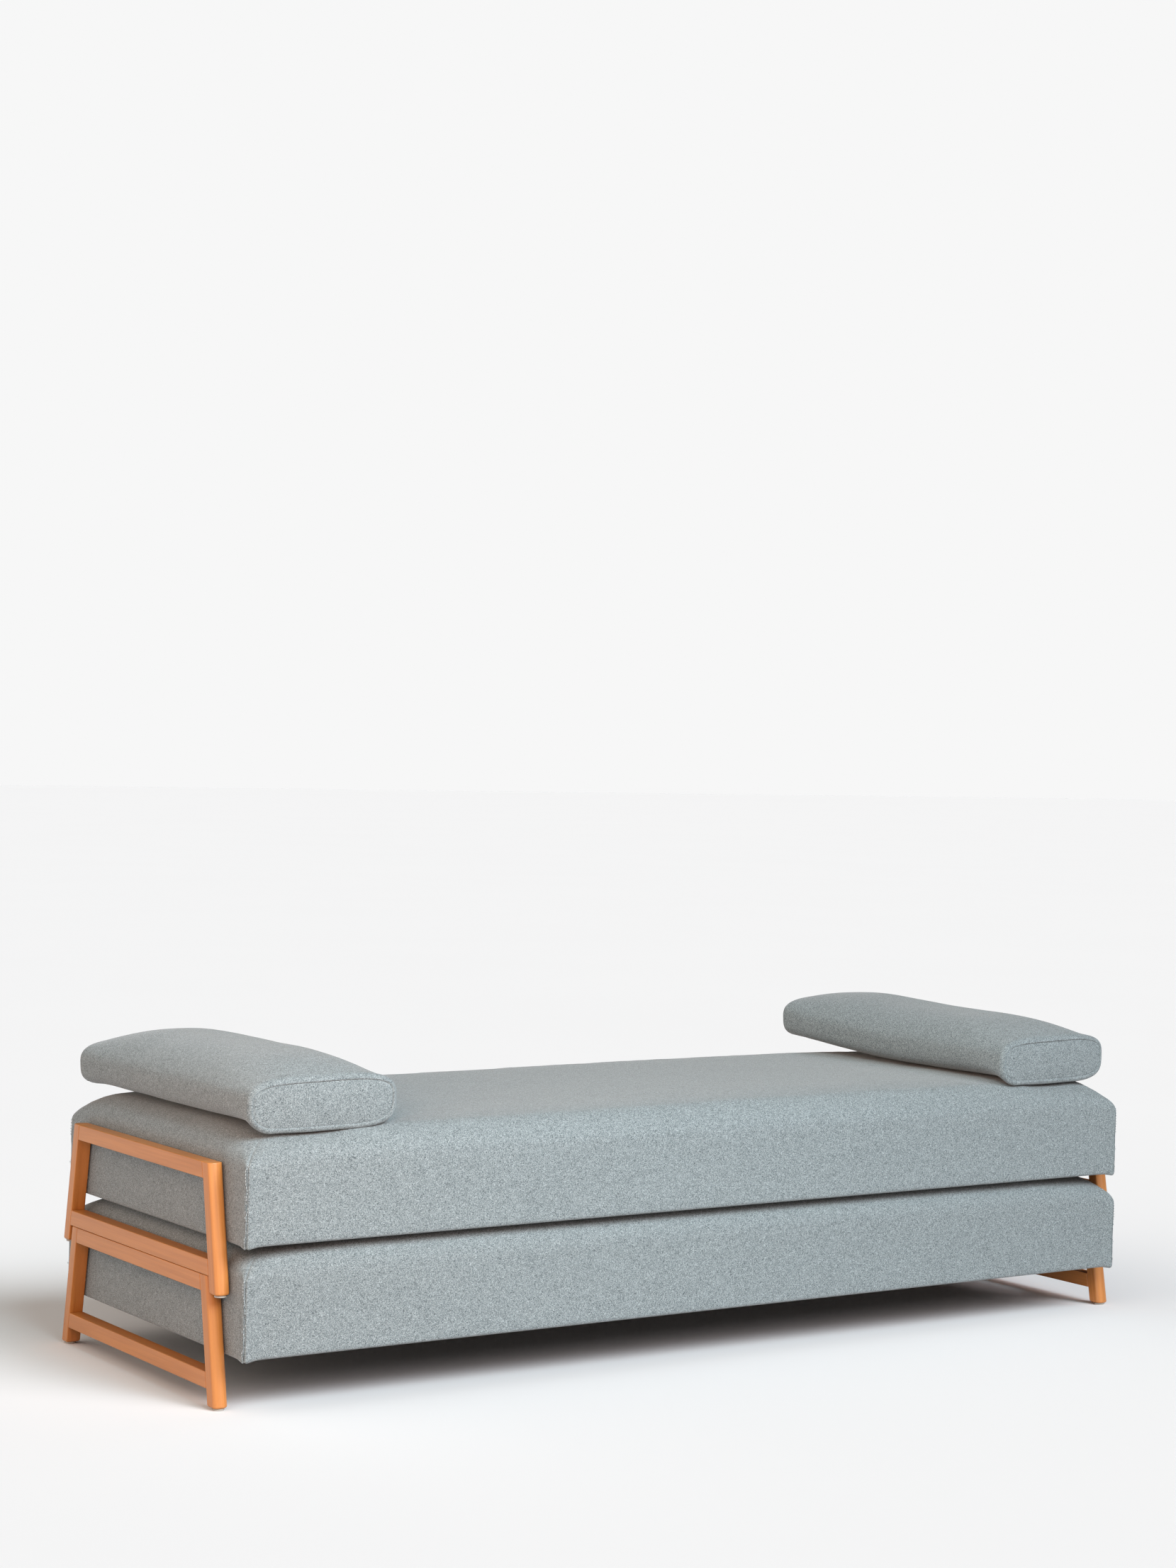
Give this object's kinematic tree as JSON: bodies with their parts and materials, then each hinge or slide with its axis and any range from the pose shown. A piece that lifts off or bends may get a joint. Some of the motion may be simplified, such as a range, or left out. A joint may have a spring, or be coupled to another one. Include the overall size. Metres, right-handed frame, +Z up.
{
  "type": "stacking sofa bed",
  "caption": "Stacking sofa bed of identical upholstered day beds between splayed beech end frames, with loose box cushions lying across its ends.",
  "frame": {"origin": "on the floor under the middle of the stack", "axes": "+X along the length of the beds, +Y from the front to the back, +Z up"},
  "size_m": [1.956, 0.7, 0.5779],
  "materials": {
    "melange_fabric": "matt felted wool-look weave in mixed light and dark grey",
    "beech": "honey-stained beech, satin lacquer",
    "pine": "sawn, unfinished",
    "foam": "open-cell polyurethane foam",
    "lining": "black non-woven lining",
    "bolt_steel": "zinc plated",
    "glide_plastic": "light grey moulded plastic"
  },
  "bodies": {
    "lower_bed": {"lower_cover": "melange_fabric", "lower_foam_core": "foam", "lower_underside_lining": "lining", "lower_base_rail_front": "pine", "lower_base_rail_back": "pine", "lower_base_end_rail_left": "pine", "lower_base_end_rail_right": "pine", "lower_slat_1": "pine", "lower_slat_2": "pine", "lower_slat_3": "pine", "lower_slat_4": "pine", "lower_slat_5": "pine", "lower_top_rail_left": "beech", "lower_stretcher_left": "beech", "lower_post_front_left": "beech", "lower_glide_front_left": "glide_plastic", "lower_frame_bolt_front_left": "bolt_steel", "lower_post_back_left": "beech", "lower_glide_back_left": "glide_plastic", "lower_frame_bolt_back_left": "bolt_steel", "lower_top_rail_right": "beech", "lower_stretcher_right": "beech", "lower_post_front_right": "beech", "lower_glide_front_right": "glide_plastic", "lower_frame_bolt_front_right": "bolt_steel", "lower_post_back_right": "beech", "lower_glide_back_right": "glide_plastic", "lower_frame_bolt_back_right": "bolt_steel"},
    "upper_bed": {"upper_cover": "melange_fabric", "upper_foam_core": "foam", "upper_underside_lining": "lining", "upper_base_rail_front": "pine", "upper_base_rail_back": "pine", "upper_base_end_rail_left": "pine", "upper_base_end_rail_right": "pine", "upper_slat_1": "pine", "upper_slat_2": "pine", "upper_slat_3": "pine", "upper_slat_4": "pine", "upper_slat_5": "pine", "upper_top_rail_left": "beech", "upper_stretcher_left": "beech", "upper_post_front_left": "beech", "upper_glide_front_left": "glide_plastic", "upper_frame_bolt_front_left": "bolt_steel", "upper_post_back_left": "beech", "upper_glide_back_left": "glide_plastic", "upper_frame_bolt_back_left": "bolt_steel", "upper_top_rail_right": "beech", "upper_stretcher_right": "beech", "upper_post_front_right": "beech", "upper_glide_front_right": "glide_plastic", "upper_frame_bolt_front_right": "bolt_steel", "upper_post_back_right": "beech", "upper_glide_back_right": "glide_plastic", "upper_frame_bolt_back_right": "bolt_steel"},
    "cushion_left": {"cushion_cover_left": "melange_fabric", "cushion_pad_left": "foam"},
    "cushion_right": {"cushion_cover_right": "melange_fabric", "cushion_pad_right": "foam"}
  },
  "joints": [
    {"name": "upper_bed_lift", "type": "slide", "parent": "lower_bed", "child": "upper_bed", "axis": [0, 0, 1], "range_m": [0, 0.25]},
    {"name": "cushion_left_lift", "type": "slide", "parent": "upper_bed", "child": "cushion_left", "axis": [0, 0, 1], "range_m": [0, 0.2]},
    {"name": "cushion_right_lift", "type": "slide", "parent": "upper_bed", "child": "cushion_right", "axis": [0, 0, 1], "range_m": [0, 0.2]}
  ]
}
